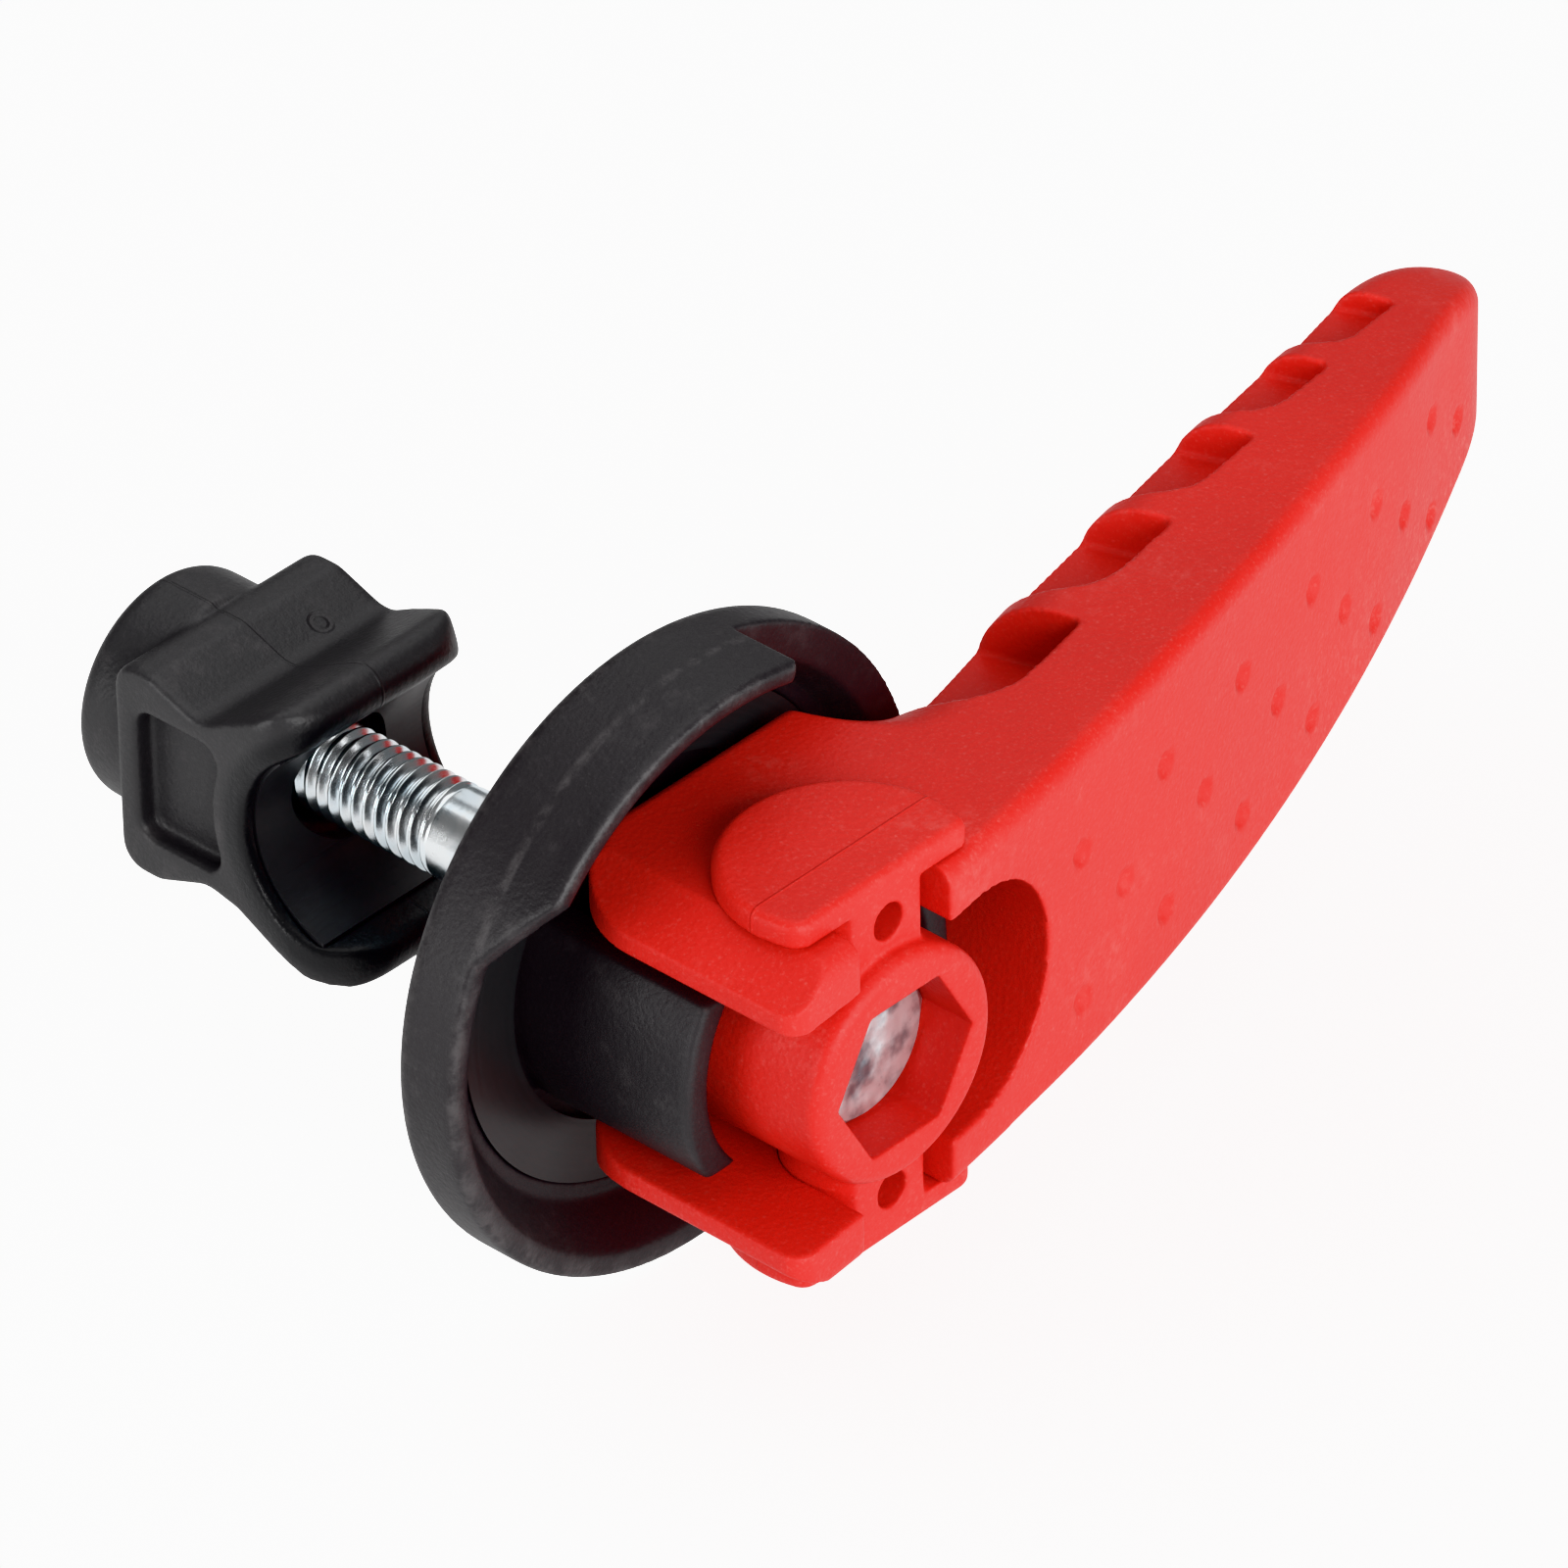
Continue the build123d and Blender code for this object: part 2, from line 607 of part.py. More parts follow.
    # Small grip dimples on the outer face, the middle row half a pitch on
    for column in (-1, 0, 1):
        for k in range(dimple_rows):
            dimple_y = dimple_first_y + dimple_pitch * (k + 0.5 * (column == 0))
            lean = math.asin((dimple_y - outer_centre.Y) / outer_bend)
            reach = outer_bend + dimple_radius - dimple_depth
            dimple_x = outer_centre.X + reach * math.cos(lean)
            dimple_z = column * dimple_spread * handle_half_width(dimple_y) / ear_outer - dimple_drop
            with Locations((dimple_x, outer_centre.Y + reach * math.sin(lean), dimple_z)):
                Sphere(dimple_radius, mode=Mode.SUBTRACT)
lever.part.label = "lever"

os.makedirs("parts", exist_ok=True)
export_step(jaw.part, "parts/jaw.step")
export_step(saddle_pad.part, "parts/saddle_pad.step")
export_step(threaded_insert.part, "parts/threaded_insert.step")
export_step(clamp_bolt.part, "parts/clamp_bolt.step")
export_step(trunnion_barrel.part, "parts/trunnion_barrel.step")
export_step(cam_dish.part, "parts/cam_dish.step")
export_step(wear_ring.part, "parts/wear_ring.step")
export_step(lever.part, "parts/lever.step")
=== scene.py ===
import math

import bmesh
import bpy
from mathutils import Matrix, Vector


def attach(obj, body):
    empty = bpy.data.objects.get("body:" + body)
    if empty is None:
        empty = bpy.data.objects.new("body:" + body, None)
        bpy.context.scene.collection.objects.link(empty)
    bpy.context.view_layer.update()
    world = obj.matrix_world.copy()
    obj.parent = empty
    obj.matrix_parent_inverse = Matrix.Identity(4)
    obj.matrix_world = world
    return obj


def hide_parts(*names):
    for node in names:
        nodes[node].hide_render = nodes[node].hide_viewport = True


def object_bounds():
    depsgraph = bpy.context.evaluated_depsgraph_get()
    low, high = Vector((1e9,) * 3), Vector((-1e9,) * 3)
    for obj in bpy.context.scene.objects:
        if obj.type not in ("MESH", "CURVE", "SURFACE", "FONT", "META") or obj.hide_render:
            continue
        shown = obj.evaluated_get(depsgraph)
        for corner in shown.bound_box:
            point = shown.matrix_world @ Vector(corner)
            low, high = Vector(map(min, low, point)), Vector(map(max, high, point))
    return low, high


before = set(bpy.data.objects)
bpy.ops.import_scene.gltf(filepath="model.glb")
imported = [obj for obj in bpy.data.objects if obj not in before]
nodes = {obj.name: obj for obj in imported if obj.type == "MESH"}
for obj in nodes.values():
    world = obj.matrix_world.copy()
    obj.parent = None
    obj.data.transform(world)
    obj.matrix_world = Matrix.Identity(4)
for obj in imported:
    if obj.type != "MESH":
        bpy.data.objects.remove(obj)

cad_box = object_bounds()
MM = 0.001

# Sizes of the bolt, in metres, as in the solid model
BOLT_RADIUS = 4.0 * MM
THREAD_DEPTH = 0.62 * MM
THREAD_PITCH = 1.25 * MM
THREAD_START = -27.0 * MM
THREAD_END = 4.6 * MM
HEAD_SEAT = 41.8 * MM
HEAD_HEIGHT = 5.3 * MM
HEAD_FLATS = 13.0 * MM


# Shader arithmetic: a socket that can be added, multiplied and compared

class Value:
    """One output of a node, with the usual signs for the maths on it."""

    def __init__(self, graph, socket):
        self.graph = graph
        self.socket = socket

    def math(self, operation, other=0.0, swapped=False):
        node = self.graph.tree.nodes.new("ShaderNodeMath")
        node.operation = operation
        own, its = (1, 0) if swapped else (0, 1)
        self.graph.join(self, node.inputs[own])
        self.graph.join(other, node.inputs[its])
        return Value(self.graph, node.outputs[0])

    def __add__(self, other):
        return self.math("ADD", other)

    def __sub__(self, other):
        return self.math("SUBTRACT", other)

    def __rsub__(self, other):
        return self.math("SUBTRACT", other, True)

    def __mul__(self, other):
        return self.math("MULTIPLY", other)

    def __pow__(self, other):
        return self.math("POWER", other)

    def __abs__(self):
        return self.math("ABSOLUTE")

    def most(self, other):
        return self.math("MAXIMUM", other)

    def ramp(self, low, high, out_low=0.0, out_high=1.0):
        """Smooth change from out_low to out_high as the value goes from low to high."""
        return self.graph.node(
            "ShaderNodeMapRange",
            {"interpolation_type": "SMOOTHSTEP"},
            {0: self, 1: low, 2: high, 3: out_low, 4: out_high},
        )


class Graph:
    """One material and its nodes."""

    def __init__(self, name):
        self.material = bpy.data.materials.new(name)
        self.material.use_nodes = True
        self.tree = self.material.node_tree
        self.tree.nodes.clear()
        self.place = self.node("ShaderNodeTexCoord", output="Object")

    def join(self, source, socket):
        if isinstance(source, Value):
            self.tree.links.new(source.socket, socket)
        else:
            socket.default_value = source

    def node(self, kind, settings=None, sockets=None, output=0):
        node = self.tree.nodes.new(kind)
        for key, value in (settings or {}).items():
            setattr(node, key, value)
        for key, value in (sockets or {}).items():
            self.join(value, node.inputs[key])
        return Value(self, node.outputs[output])

    def noise(self, scale, detail=3.0, roughness=0.55):
        return self.node(
            "ShaderNodeTexNoise",
            {},
            {"Vector": self.place, "Scale": scale, "Detail": detail, "Roughness": roughness},
        )

    def rings(self, distance, scale, detail):
        """Noise that changes only with a distance, so it draws rings."""
        return self.node(
            "ShaderNodeTexNoise",
            {"noise_dimensions": "1D"},
            {"W": distance * scale, "Scale": 1.0, "Detail": detail},
        )

    def cells(self, scale):
        return self.node("ShaderNodeTexVoronoi", {}, {"Vector": self.place, "Scale": scale})

    def axis(self, letter):
        return self.node("ShaderNodeSeparateXYZ", {}, {0: self.place}, letter)

    def from_axis(self, first, second):
        """Distance from the axis that the two letters are square to."""
        a = self.axis(first)
        b = self.axis(second)
        return (a * a + b * b) ** 0.5

    def blend(self, factor, first, second):
        """A colour between two colours."""
        return self.node(
            "ShaderNodeMix",
            {"data_type": "RGBA"},
            {0: factor, 6: first, 7: second},
            2,
        )

    def bump(self, height, strength, distance):
        return self.node(
            "ShaderNodeBump",
            {},
            {"Height": height, "Strength": strength, "Distance": distance},
        )

    def surface(self, colour, roughness, normal=None, metallic=0.0, **fixed):
        sockets = {"Base Color": colour, "Roughness": roughness, "Metallic": metallic}
        if normal is not None:
            sockets["Normal"] = normal
        for key, value in fixed.items():
            sockets[key.replace("_", " ")] = value
        shader = self.node("ShaderNodeBsdfPrincipled", {}, sockets)
        out = self.tree.nodes.new("ShaderNodeOutputMaterial")
        self.tree.links.new(shader.socket, out.inputs["Surface"])
        return self.material


# Relief of the moulded surfaces: the grain's height and strength, and how many times higher a mould line is
GRAIN_HEIGHT = 0.12 * MM
GRAIN_STRENGTH = 0.42
LINE_HEIGHT = 2.5

# Colours of the black mouldings
DISH_DARK = (0.0190, 0.0168, 0.0186, 1)
DISH_LIGHT = (0.0260, 0.0232, 0.0254, 1)
JAW_DARK = (0.031, 0.030, 0.0315, 1)
JAW_LIGHT = (0.041, 0.0397, 0.0415, 1)


# Marks of each moulding: the height of its mould lines, and how far it goes pale: rubbing on the lever, the
# gate on the jaw, a painted highlight along the dish's edges

def fine_line(distance):
    """A thin raised line where a distance is near nothing."""
    return 1.0 - abs(distance).ramp(0.05 * MM, 0.17 * MM)


def barrel_marks(g):
    """Mould line of the barrel across both flanges, in the plane through the arms."""
    outside = abs(g.axis("Z")).ramp(13.5 * MM, 14.5 * MM)
    return fine_line(g.axis("X") - 45.0 * MM) * outside, 0.0


def lever_marks(g):
    """Whitish rubbing on the lower outer side of the handle, toward its tip."""
    along = g.axis("Y").ramp(30.0 * MM, 100.0 * MM)
    low = g.axis("Z").ramp(9.0 * MM, -9.0 * MM)
    return 0.0, along * low * g.noise(1500.0, 4.0, 0.75).ramp(0.50, 0.72) * 0.30


def jaw_marks(g):
    """Mould line along the middle of the jaw, and the round mark of the gate on its upper side."""
    x = g.axis("X") + 15.3 * MM
    y = g.axis("Y")
    beside = y - 5.0 * MM
    away = (x * x + beside * beside) ** 0.5
    top = g.axis("Z").ramp(3.0 * MM, 5.0 * MM)
    gate = (1.0 - abs(away - 0.8 * MM).ramp(0.10 * MM, 0.35 * MM)) * top
    return fine_line(y + 0.3 * MM) - gate * 2.0, gate * 0.10


def dish_marks(g):
    """Paler edges all round the rim and the hood of the dish: a painted highlight, broken up in patches."""
    x = g.axis("X")
    radius = g.from_axis("Y", "Z")
    low_rim = x.ramp(28.5 * MM, 29.1 * MM) * (1.0 - x.ramp(29.4 * MM, 29.8 * MM))
    hood = x.ramp(33.9 * MM, 34.4 * MM)
    rear = x.ramp(24.9 * MM, 24.0 * MM)
    # painted highlight along the edges of the rim, the hood and the rear, broken up by noise
    painted_edge_highlight = radius.ramp(25.2 * MM, 27.0 * MM) * low_rim.most(hood).most(rear)
    broken = g.noise(420.0, 5.0, 0.7).ramp(0.40, 0.66)
    return 0.0, painted_edge_highlight * broken * 0.55


def darker_near_saddle(g):
    """Darker and smoother towards the saddle's surface, over the inner half of both lips."""
    return 1.0 - g.from_axis("X", "Z").ramp(10.4 * MM, 11.8 * MM)


def red_plastic(name, marks):
    """Satin red moulding with a spark-eroded grain, faint flow clouds and a whitish bloom."""
    g = Graph(name)
    line, pale_amount = marks(g)
    cloud = g.noise(45.0, 4.0)
    grain = g.noise(2600.0, 2.0, 0.6)
    pits = g.cells(1900.0)
    specks = g.cells(900.0).ramp(0.18, 0.06)
    dust = g.noise(3200.0, 2.0, 0.7).ramp(0.52, 0.74)
    bloom = g.noise(70.0, 6.0, 0.7).ramp(0.5, 0.78) * g.noise(900.0, 3.0, 0.7).ramp(0.4, 0.7)
    base = g.blend(cloud.ramp(0.3, 0.7), (0.560, 0.027, 0.022, 1), (0.620, 0.034, 0.028, 1))
    pale = bloom * 0.22 + specks * 0.10 + dust * 0.10 + pale_amount
    frosted = g.blend(pale, base, (0.80, 0.30, 0.27, 1))
    rough = cloud.ramp(0.3, 0.75, 0.40, 0.50) + grain * 0.08
    height = grain * 0.6 + pits * 0.5 + line * LINE_HEIGHT
    normal = g.bump(height, GRAIN_STRENGTH, GRAIN_HEIGHT)
    return g.surface(frosted, rough, normal, IOR=1.49, Specular_IOR_Level=0.30)


def black_plastic(name, marks, dark, light, skin=None):
    """Satin near-black moulding with a fine grain, rubbed patches, specks, each moulding's paler marks (a
    painted highlight on the dish's edges), and a darker, smoother band where skin says.
    """
    g = Graph(name)
    # pale_amount is each moulding's paler mark; on the dish it is a painted highlight along the edges
    line, pale_amount = marks(g)
    cloud = g.noise(60.0, 5.0)
    grain = g.noise(2200.0, 2.0, 0.6)
    rub = g.noise(240.0, 5.0, 0.65).ramp(0.55, 0.75)
    specks = g.cells(520.0).ramp(0.10, 0.03) + g.noise(2600.0, 2.0, 0.7).ramp(0.54, 0.76)
    base = g.blend(cloud.ramp(0.3, 0.7), dark, light)
    # rubbed patches and specks, with the dish's painted edge highlight mixed in
    marked_colour = g.blend(rub * 0.30 + specks * 0.15 + pale_amount, base, (0.085, 0.078, 0.080, 1))
    rough = cloud.ramp(0.3, 0.75, 0.40, 0.52) + grain * 0.10
    # skin, when given, makes the colour darker and the surface smoother near the saddle
    if skin:
        smooth = skin(g)
        marked_colour = g.blend(smooth, marked_colour, (0.012, 0.0118, 0.013, 1))
        rough = rough - smooth * 0.12
    normal = g.bump(grain + line * LINE_HEIGHT, GRAIN_STRENGTH, GRAIN_HEIGHT)
    return g.surface(marked_colour, rough, normal, IOR=1.50)


def liner_rubber(name):
    """Smooth black liner with a faint sheen and handling marks."""
    g = Graph(name)
    cloud = g.noise(130.0, 4.0)
    grain = g.noise(1500.0, 2.0)
    base = g.blend(cloud.ramp(0.35, 0.7), (0.040, 0.0395, 0.042, 1), (0.054, 0.0535, 0.056, 1))
    return g.surface(base, cloud.ramp(0.3, 0.7, 0.34, 0.46), g.bump(grain, 0.10, 0.08 * MM), IOR=1.5)


def slick_ring(name):
    """Smooth dark ring, scuffed in circles where the cam rubs."""
    g = Graph(name)
    wobble = g.noise(90.0, 3.0) * (0.6 * MM)
    circles = g.rings(g.from_axis("Y", "Z") + wobble, 2600.0, 3.0)
    cloud = g.noise(120.0, 4.0)
    scuffs = circles.ramp(0.4, 0.7) * 0.05 + cloud * 0.3
    base = g.blend(scuffs, (0.022, 0.022, 0.023, 1), (0.060, 0.060, 0.062, 1))
    return g.surface(base, circles.ramp(0.3, 0.7, 0.32, 0.38), g.bump(circles, 0.01, 0.04 * MM), IOR=1.5)


def bright_zinc(name, deep, light, waves=0.0, dull=0.0, metal=1.0):
    """Bright zinc plate: bluish and warm patches, fine dullness, a few dark spots and forged waves."""
    g = Graph(name)
    cloud = g.noise(260.0, 4.0)
    fine = g.noise(2400.0, 3.0)
    spots = g.cells(700.0).ramp(0.14, 0.04)
    tint = g.blend(cloud.ramp(0.38, 0.62), deep, light)
    base = g.blend(spots * 0.35, tint, (0.35, 0.37, 0.40, 1))
    rough = cloud.ramp(0.3, 0.7, 0.14, 0.24) + fine * 0.06 + dull
    height = fine * 0.1 + g.noise(330.0, 1.0, 0.4) * waves
    return g.surface(base, rough, g.bump(height, 1.0, 0.06 * MM), metallic=metal)


def turned_brass(name):
    """Turned brass with fine rings and a little tarnish."""
    g = Graph(name)
    rings = g.rings(g.from_axis("Y", "Z"), 6000.0, 2.0)
    cloud = g.noise(300.0, 4.0)
    base = g.blend(cloud.ramp(0.4, 0.75), (0.72, 0.54, 0.26, 1), (0.46, 0.34, 0.18, 1))
    return g.surface(base, rings.ramp(0.3, 0.7, 0.24, 0.40), g.bump(rings, 0.10, 0.05 * MM), metallic=1.0)


def pale_floor(name):
    """Plain white studio floor with a faint grain. It glows more to the camera than to the object."""
    g = Graph(name)
    cloud = g.noise(3.0, 3.0)
    base = g.blend(cloud, (0.39, 0.39, 0.39, 1), (0.41, 0.41, 0.41, 1))
    seen = g.node("ShaderNodeLightPath", output="Is Camera Ray")
    glow = g.blend(seen, (0.30, 0.30, 0.30, 1), (1, 1, 1, 1))
    return g.surface(base, cloud.ramp(0.2, 0.8, 0.75, 0.85), Emission_Color=glow, Emission_Strength=2.0)


zinc = bright_zinc("bolt_zinc", (0.68, 0.75, 0.79, 1), (0.80, 0.82, 0.83, 1))
forged_zinc = bright_zinc(
    "head_zinc",
    (0.22, 0.24, 0.27, 1),
    (0.66, 0.67, 0.69, 1),
    waves=12.0,
    dull=0.10,
    metal=0.72,
)
for node_name, finish in (
    ("threaded_insert", turned_brass("insert_brass")),
    ("wear_ring", slick_ring("ring_dark")),
):
    mesh = nodes[node_name].data
    mesh.materials.clear()
    mesh.materials.append(finish)


# Moulded pieces: the solid's shape with its edges eased the way a mould leaves them

WELD = 0.002 * MM
SMOOTH_STEP = 0.5
SOFT_PASSES = 110


def applied(mesh, dress):
    """A new mesh: the given one after the modifiers that dress puts on a short-lived object."""
    seed = bpy.data.objects.new(mesh.name + "_seed", mesh)
    bpy.context.scene.collection.objects.link(seed)
    dress(seed)
    bpy.context.view_layer.update()
    ready = seed.evaluated_get(bpy.context.evaluated_depsgraph_get())
    shape = bpy.data.meshes.new_from_object(ready)
    bpy.data.objects.remove(seed)
    return shape


def welded(mesh):
    """A copy of the mesh with its doubled points joined."""
    work = bmesh.new()
    work.from_mesh(mesh)
    bmesh.ops.remove_doubles(work, verts=work.verts, dist=WELD)
    copy = bpy.data.meshes.new(mesh.name + "_welded")
    work.to_mesh(copy)
    work.free()
    return copy


def moulded(node_name, body, finish, cell, passes, kept, softness=None):
    """A skin of small cells over the solid, smoothed, more so where softness says, then thinned.

    kept is the share of the faces that stay.
    """
    def skin_and_ease(seed):
        skin = seed.modifiers.new("skin", "REMESH")
        skin.mode = "VOXEL"
        skin.voxel_size = cell
        ease = seed.modifiers.new("ease", "SMOOTH")
        ease.factor = SMOOTH_STEP
        ease.iterations = passes

    def round_and_thin(seed):
        if softness:
            group = seed.vertex_groups.new(name="soft")
            for vertex in seed.data.vertices:
                weight = softness(vertex.co / MM)
                if weight > 0:
                    group.add([vertex.index], weight, "REPLACE")
            bend = seed.modifiers.new("bend", "SMOOTH")
            bend.factor = SMOOTH_STEP
            bend.iterations = SOFT_PASSES
            bend.vertex_group = "soft"
        thin = seed.modifiers.new("thin", "DECIMATE")
        thin.ratio = kept

    shape = applied(applied(welded(nodes[node_name].data), skin_and_ease), round_and_thin)
    shape.name = node_name + "_moulded"
    shape.materials.clear()
    shape.materials.append(finish)
    shape.shade_smooth()
    made = bpy.data.objects.new(node_name + "_moulded", shape)
    bpy.context.scene.collection.objects.link(made)
    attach(made, body)
    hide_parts(node_name)


def between(value, low, high):
    """0 below low, 1 above high, and even steps from one to the other."""
    return min(max((value - low) / (high - low), 0.0), 1.0)


def lip_softness(place):
    """How round the jaw's lips are: most at the two ends of the upper lip and along the lower lip."""
    upper = between(place.z, 4.0, 6.5) * between(place.x, -10.5, -8.0) * between(abs(place.y), 4.5, 7.5)
    lower = between(-place.z, 6.0, 8.5) * between(place.x, -6.0, -3.0) * 0.6
    return max(upper, lower)


jaw_finish = black_plastic("jaw_black", jaw_marks, JAW_DARK, JAW_LIGHT, darker_near_saddle)
dish_finish = black_plastic("dish_black", dish_marks, DISH_DARK, DISH_LIGHT)
barrel_finish = red_plastic("barrel_red", barrel_marks)
lever_finish = red_plastic("lever_red", lever_marks)
moulded("jaw", "jaw_body", jaw_finish, 0.20 * MM, 24, 0.60, lip_softness)
moulded("cam_dish", "dish_body", dish_finish, 0.28 * MM, 6, 0.60)
moulded("trunnion_barrel", "bolt_body", barrel_finish, 0.19 * MM, 6, 0.50)
moulded("lever", "lever_body", lever_finish, 0.22 * MM, 5, 0.33)


# Liner: swollen a little, so that it presses against the edge of its seat all round

PAD_SWELL = 0.16 * MM
SHARP = math.radians(35.0)
pad_mesh = welded(nodes["saddle_pad"].data)
for vertex in pad_mesh.vertices:
    vertex.co += vertex.normal * PAD_SWELL
pad_mesh.materials.clear()
pad_mesh.materials.append(liner_rubber("pad_black"))
pad_mesh.shade_smooth()
pad_mesh.set_sharp_from_angle(angle=SHARP)
pad = bpy.data.objects.new("saddle_liner", pad_mesh)
bpy.context.scene.collection.objects.link(pad)
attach(pad, "jaw_body")
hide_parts("saddle_pad")


# Bolt: a true helical thread by rule, and a turned shank with its hexagon head

# Fineness of the thread's sheet, along and around. The whole turns only keep the phase above nothing
THREAD_COLUMNS = 405
THREAD_ROWS = 65
WHOLE_TURNS = 100.0

# Shape of the thread: shares of half a pitch that the crest and the flank take, and the taper at the tip
CREST_SHARE = 0.08
FLANK_SHARE = 0.80
LEAD_SLOPE = 0.8
LEAD_DEPTH = 0.9 * MM


def thread_group():
    """A sheet of points rolled into a helical thread, with a run-out at the shank and a lead at the tip."""
    group = bpy.data.node_groups.new("helical_thread", "GeometryNodeTree")
    face = group.interface
    for label, kind in (
        ("Radius", "NodeSocketFloat"),
        ("Depth", "NodeSocketFloat"),
        ("Pitch", "NodeSocketFloat"),
        ("Start", "NodeSocketFloat"),
        ("End", "NodeSocketFloat"),
        ("Material", "NodeSocketMaterial"),
    ):
        face.new_socket(label, in_out="INPUT", socket_type=kind)
    face.new_socket("Geometry", in_out="OUTPUT", socket_type="NodeSocketGeometry")
    nodes_of = group.nodes
    links = group.links
    given = nodes_of.new("NodeGroupInput").outputs

    def calc(operation, first, second=0.0):
        node = nodes_of.new("ShaderNodeMath")
        node.operation = operation
        for k, item in enumerate((first, second)):
            if isinstance(item, float):
                node.inputs[k].default_value = item
            else:
                links.new(item, node.inputs[k])
        return node.outputs[0]

    sheet = nodes_of.new("GeometryNodeMeshGrid")
    sheet.inputs["Size X"].default_value = 1.0
    sheet.inputs["Size Y"].default_value = 1.0
    sheet.inputs["Vertices X"].default_value = THREAD_COLUMNS
    sheet.inputs["Vertices Y"].default_value = THREAD_ROWS
    spot = nodes_of.new("GeometryNodeInputPosition")
    apart = nodes_of.new("ShaderNodeSeparateXYZ")
    links.new(spot.outputs[0], apart.inputs[0])
    along = calc("ADD", apart.outputs["X"], 0.5)
    turn = calc("ADD", apart.outputs["Y"], 0.5)
    length = calc("SUBTRACT", given["End"], given["Start"])
    x = calc("ADD", given["Start"], calc("MULTIPLY", along, length))
    turns = calc("SUBTRACT", calc("DIVIDE", x, given["Pitch"]), turn)
    phase = calc("FRACT", calc("ADD", turns, WHOLE_TURNS))
    tooth = calc("MULTIPLY", calc("ABSOLUTE", calc("SUBTRACT", phase, 0.5)), 2.0)
    slope = calc("DIVIDE", calc("SUBTRACT", tooth, CREST_SHARE), FLANK_SHARE)
    flank = calc("MINIMUM", calc("MAXIMUM", slope, 0.0), 1.0)
    to_end = calc("SUBTRACT", given["End"], x)
    run_out = calc("MINIMUM", calc("DIVIDE", to_end, given["Pitch"]), 1.0)
    cut = calc("MULTIPLY", calc("MULTIPLY", flank, given["Depth"]), run_out)
    from_tip = calc("SUBTRACT", given["Start"], x)
    lead = calc("MAXIMUM", calc("ADD", calc("MULTIPLY", from_tip, LEAD_SLOPE), LEAD_DEPTH), 0.0)
    cut_radius = calc("SUBTRACT", given["Radius"], cut)
    radius = calc("MINIMUM", cut_radius, calc("SUBTRACT", given["Radius"], lead))
    angle = calc("MULTIPLY", turn, 2 * math.pi)
    put = nodes_of.new("ShaderNodeCombineXYZ")
    links.new(x, put.inputs["X"])
    links.new(calc("MULTIPLY", radius, calc("COSINE", angle)), put.inputs["Y"])
    links.new(calc("MULTIPLY", radius, calc("SINE", angle)), put.inputs["Z"])
    move = nodes_of.new("GeometryNodeSetPosition")
    links.new(sheet.outputs["Mesh"], move.inputs["Geometry"])
    links.new(put.outputs[0], move.inputs["Position"])
    weld = nodes_of.new("GeometryNodeMergeByDistance")
    weld.inputs["Distance"].default_value = WELD
    links.new(move.outputs["Geometry"], weld.inputs["Geometry"])
    smooth = nodes_of.new("GeometryNodeSetShadeSmooth")
    links.new(weld.outputs["Geometry"], smooth.inputs["Geometry"])
    real = nodes_of.new("GeometryNodeRealizeInstances")
    links.new(smooth.outputs["Geometry"], real.inputs["Geometry"])
    paint = nodes_of.new("GeometryNodeSetMaterial")
    links.new(real.outputs["Geometry"], paint.inputs["Geometry"])
    links.new(given["Material"], paint.inputs["Material"])
    out = nodes_of.new("NodeGroupOutput")
    links.new(paint.outputs["Geometry"], out.inputs["Geometry"])
    return group


def grown(name, group, values):
    """A mesh object made by a node group with the named inputs set."""
    def rule(seed):
        modifier = seed.modifiers.new("rule", "NODES")
        modifier.node_group = group
        for item in group.interface.items_tree:
            if item.in_out == "INPUT" and item.name in values:
                modifier[item.identifier] = values[item.name]

    mesh = applied(bpy.data.meshes.new(name + "_start"), rule)
    mesh.name = name
    made = bpy.data.objects.new(name, mesh)
    bpy.context.scene.collection.objects.link(made)
    return made


def outward(mesh):
    """Turns every face outward."""
    work = bmesh.new()
    work.from_mesh(mesh)
    bmesh.ops.recalc_face_normals(work, faces=work.faces)
    work.to_mesh(mesh)
    work.free()


TURN_STEPS = 96


def turned(name, rings, finish, sharp=SHARP):
    """A closed body about the X axis. Each ring is a place along X and a radius, plain or by the angle."""
    steps = TURN_STEPS
    verts = []
    faces = []
    for x_at, radius_at in rings:
        for k in range(steps):
            a = 2 * math.pi * k / steps
            x_here = x_at(a) if callable(x_at) else x_at
            r_here = radius_at(a) if callable(radius_at) else radius_at
            verts.append((x_here, r_here * math.cos(a), r_here * math.sin(a)))
    for ring in range(len(rings) - 1):
        for k in range(steps):
            n = (k + 1) % steps
            a, b = ring * steps, (ring + 1) * steps
            faces.append((a + k, a + n, b + n, b + k))
    faces.append(tuple(range(steps)))
    last = (len(rings) - 1) * steps
    faces.append(tuple(last + k for k in range(steps)))
    mesh = bpy.data.meshes.new(name)
    mesh.from_pydata(verts, [], faces)
    outward(mesh)
    mesh.materials.append(finish)
    mesh.shade_smooth()
    mesh.set_sharp_from_angle(angle=sharp)
    made = bpy.data.objects.new(name, mesh)
    bpy.context.scene.collection.objects.link(made)
    return made


thread = grown(
    "bolt_thread",
    thread_group(),
    {
        "Radius": BOLT_RADIUS,
        "Depth": THREAD_DEPTH,
        "Pitch": THREAD_PITCH,
        "Start": THREAD_START,
        "End": THREAD_END,
        "Material": zinc,
    },
)
outward(thread.data)
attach(thread, "bolt_body")

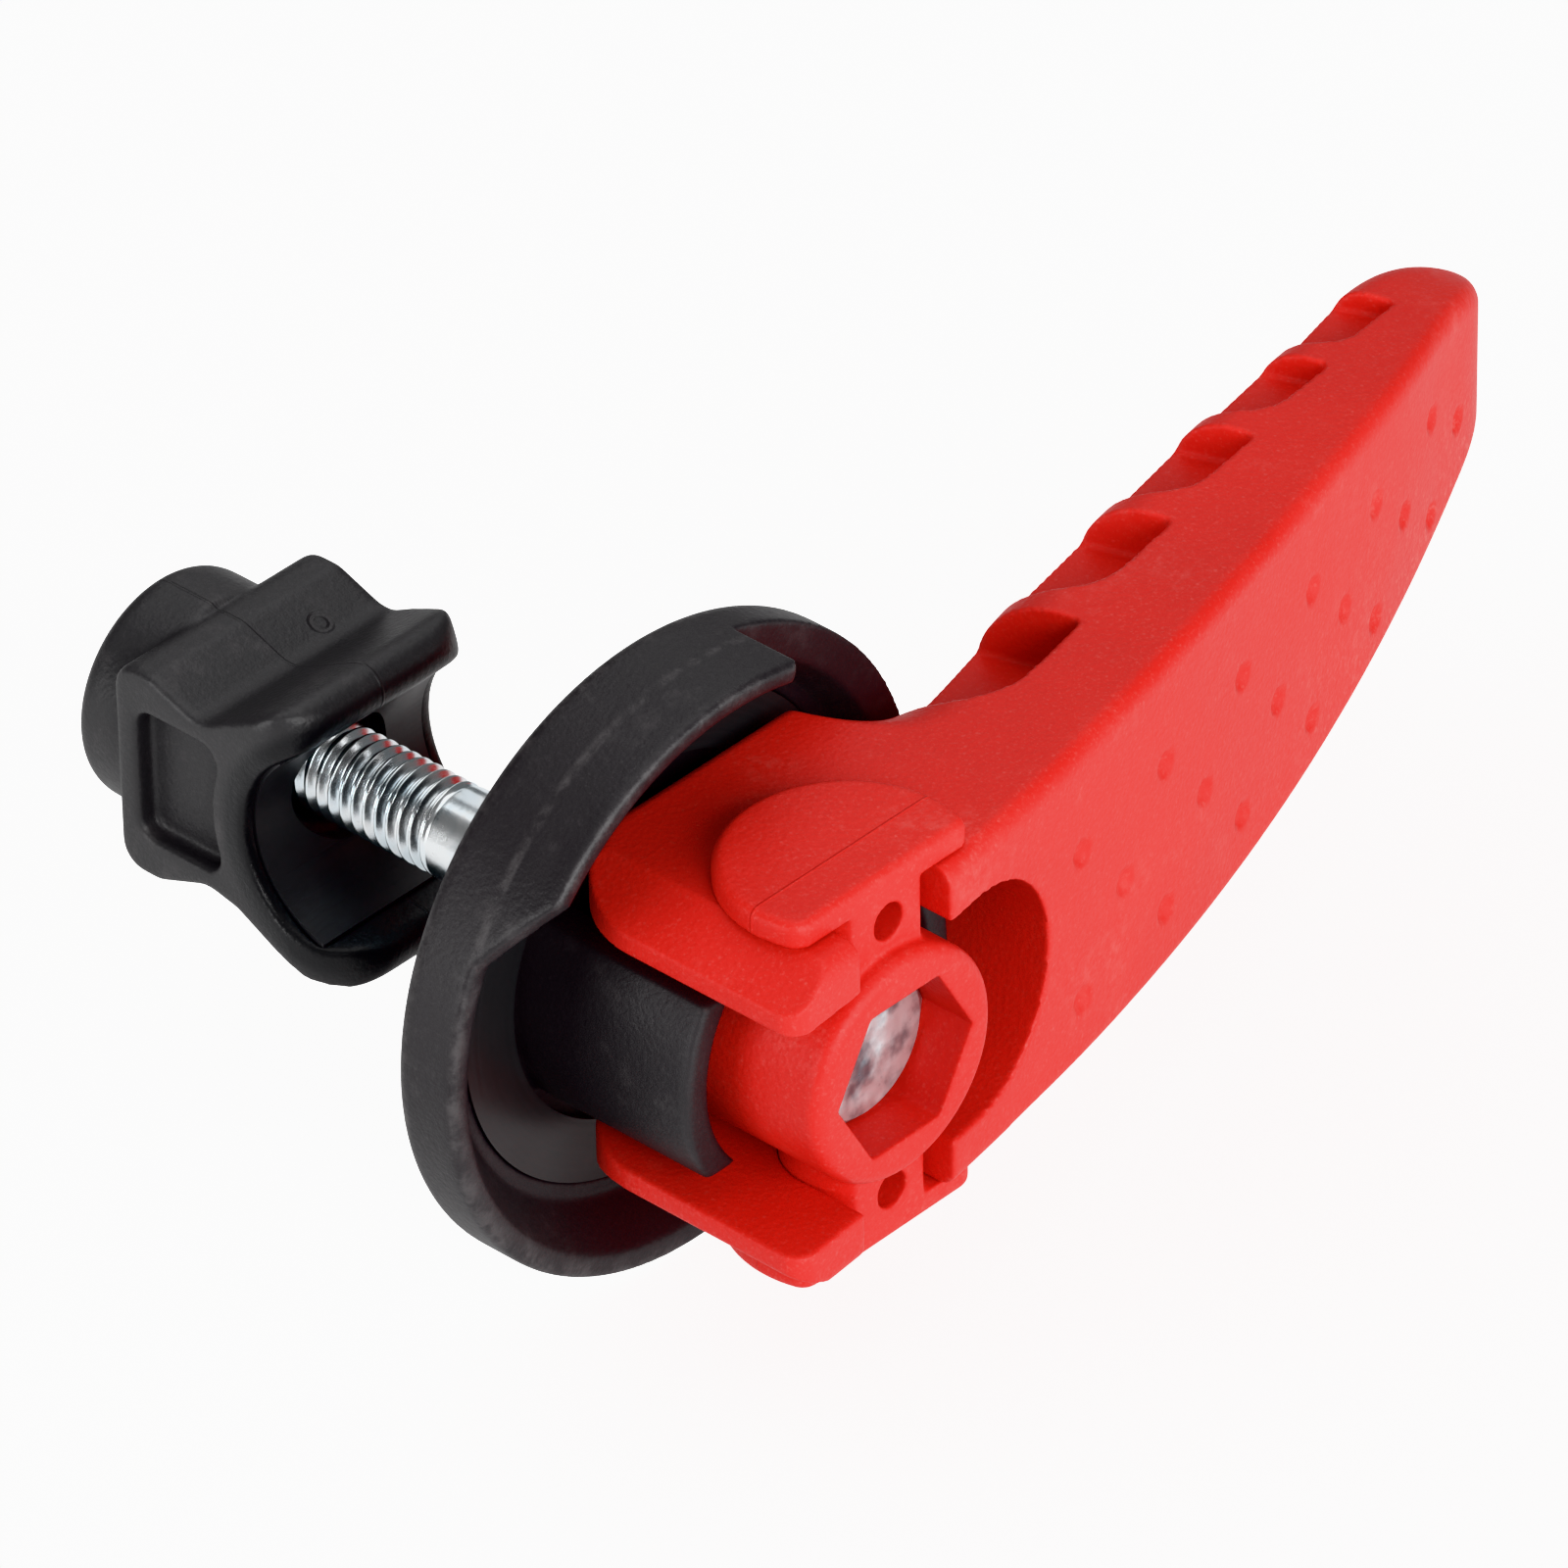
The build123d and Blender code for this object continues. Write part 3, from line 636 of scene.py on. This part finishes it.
CORE = BOLT_RADIUS - THREAD_DEPTH - 0.05 * MM
shank = turned(
    "bolt_shank",
    [
        (THREAD_START, CORE - 0.3 * MM),
        (THREAD_START + 0.3 * MM, CORE),
        (THREAD_END - 0.4 * MM, CORE),
        (THREAD_END - 0.3 * MM, BOLT_RADIUS - 0.02 * MM),
        (THREAD_END, BOLT_RADIUS),
        (HEAD_SEAT, BOLT_RADIUS),
    ],
    zinc,
)
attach(shank, "bolt_body")
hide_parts("clamp_bolt")


def hexagon(a):
    """Radius of the hexagon with corners toward +Y and -Y."""
    step = math.pi / 3
    return HEAD_FLATS / 2 / math.cos((a % step) - step / 2)


CHAMFER = HEAD_FLATS / 2 * 0.96
CHAMFER_SLOPE = 0.577
CHAMFER_DROP = 0.15 * MM
HEAD_TOP = HEAD_SEAT + HEAD_HEIGHT


def chamfer_edge(a):
    """Where the side of the head meets the chamfer."""
    return HEAD_TOP - CHAMFER_DROP - (hexagon(a) - CHAMFER) * CHAMFER_SLOPE


head = turned(
    "bolt_head",
    [
        (HEAD_SEAT, hexagon),
        (chamfer_edge, hexagon),
        (HEAD_TOP, CHAMFER),
    ],
    forged_zinc,
    sharp=math.radians(25.0),
)
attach(head, "bolt_body")


# Floor, light and camera

low = cad_box[0]
floor_mesh = bpy.data.meshes.new("floor")
FLOOR = 3.0
floor_z = low.z - 0.2 * MM
corners = ((-FLOOR, -FLOOR), (FLOOR, -FLOOR), (FLOOR, FLOOR), (-FLOOR, FLOOR))
floor_mesh.from_pydata([(x, y, floor_z) for x, y in corners], [], [(0, 1, 2, 3)])
floor_mesh.materials.append(pale_floor("floor_white"))
floor = bpy.data.objects.new("floor", floor_mesh)
bpy.context.scene.collection.objects.link(floor)

world = bpy.data.worlds.new("studio")
world.use_nodes = True
sky = world.node_tree.nodes["Background"]
sky.inputs["Color"].default_value = (1.0, 1.0, 1.0, 1)
sky.inputs["Strength"].default_value = 0.20
bpy.context.scene.world = world
middle = Vector((0.030, 0.035, 0.0))


def soft_light(name, place, size, power):
    """An area light aimed at the middle of the object. Size in metres, power in watts."""
    data = bpy.data.lights.new(name, "AREA")
    data.shape = "RECTANGLE"
    data.size = size[0]
    data.size_y = size[1]
    data.energy = power
    lamp = bpy.data.objects.new(name, data)
    lamp.location = place
    lamp.rotation_mode = "QUATERNION"
    lamp.rotation_quaternion = (middle - Vector(place)).to_track_quat("-Z", "Y")
    bpy.context.scene.collection.objects.link(lamp)


soft_light("front", (0.86, -0.34, 0.44), (0.55, 0.45), 7.6)
soft_light("right", (0.85, 0.25, 0.28), (0.5, 0.5), 3.9)
soft_light("left", (-0.25, -0.92, 0.25), (0.5, 0.4), 4.1)
soft_light("top", (-0.10, 0.10, 0.85), (0.9, 0.9), 3.9)
soft_light("back", (-0.50, 0.65, 0.55), (0.6, 0.6), 0.9)

# Camera fitted to the photograph: its angles, its pixels in a metre, its distance, and the pixel that the
# centre of the dish's rear rim falls on
AZIMUTH = math.radians(43.0858)
ELEVATION = math.radians(35.1734)
ROLL = math.radians(-1.051)
SCALE = 13.1616 / MM
DISTANCE = 1111.14 * MM
PIXELS = 1600
SENSOR = 36.0
CENTRE = (654.9, 947.51)
DISH = Vector((23.7 * MM, 0, 0))
flat_right = Vector((math.cos(AZIMUTH), math.sin(AZIMUTH), 0))
back = Vector(
    (
        math.sin(AZIMUTH) * math.cos(ELEVATION),
        -math.cos(AZIMUTH) * math.cos(ELEVATION),
        math.sin(ELEVATION),
    )
)
flat_up = back.cross(flat_right)
right = math.cos(ROLL) * flat_right + math.sin(ROLL) * flat_up
up = math.cos(ROLL) * flat_up - math.sin(ROLL) * flat_right
across = (CENTRE[0] - PIXELS / 2) / SCALE
above = -(CENTRE[1] - PIXELS / 2) / SCALE
eye = DISH - across * right - above * up + DISTANCE * back
lens = bpy.data.cameras.new("camera")
lens.sensor_width = SENSOR
lens.sensor_fit = "HORIZONTAL"
lens.lens = SENSOR * SCALE * DISTANCE / PIXELS
lens.clip_start = 0.05
lens.clip_end = 20.0
camera = bpy.data.objects.new("camera", lens)
camera.matrix_world = Matrix(
    (
        (right.x, up.x, back.x, eye.x),
        (right.y, up.y, back.y, eye.y),
        (right.z, up.z, back.z, eye.z),
        (0, 0, 0, 1),
    )
)
bpy.context.scene.collection.objects.link(camera)
bpy.context.scene.camera = camera
bpy.context.scene.view_settings.view_transform = "Khronos PBR Neutral"

bpy.context.view_layer.update()
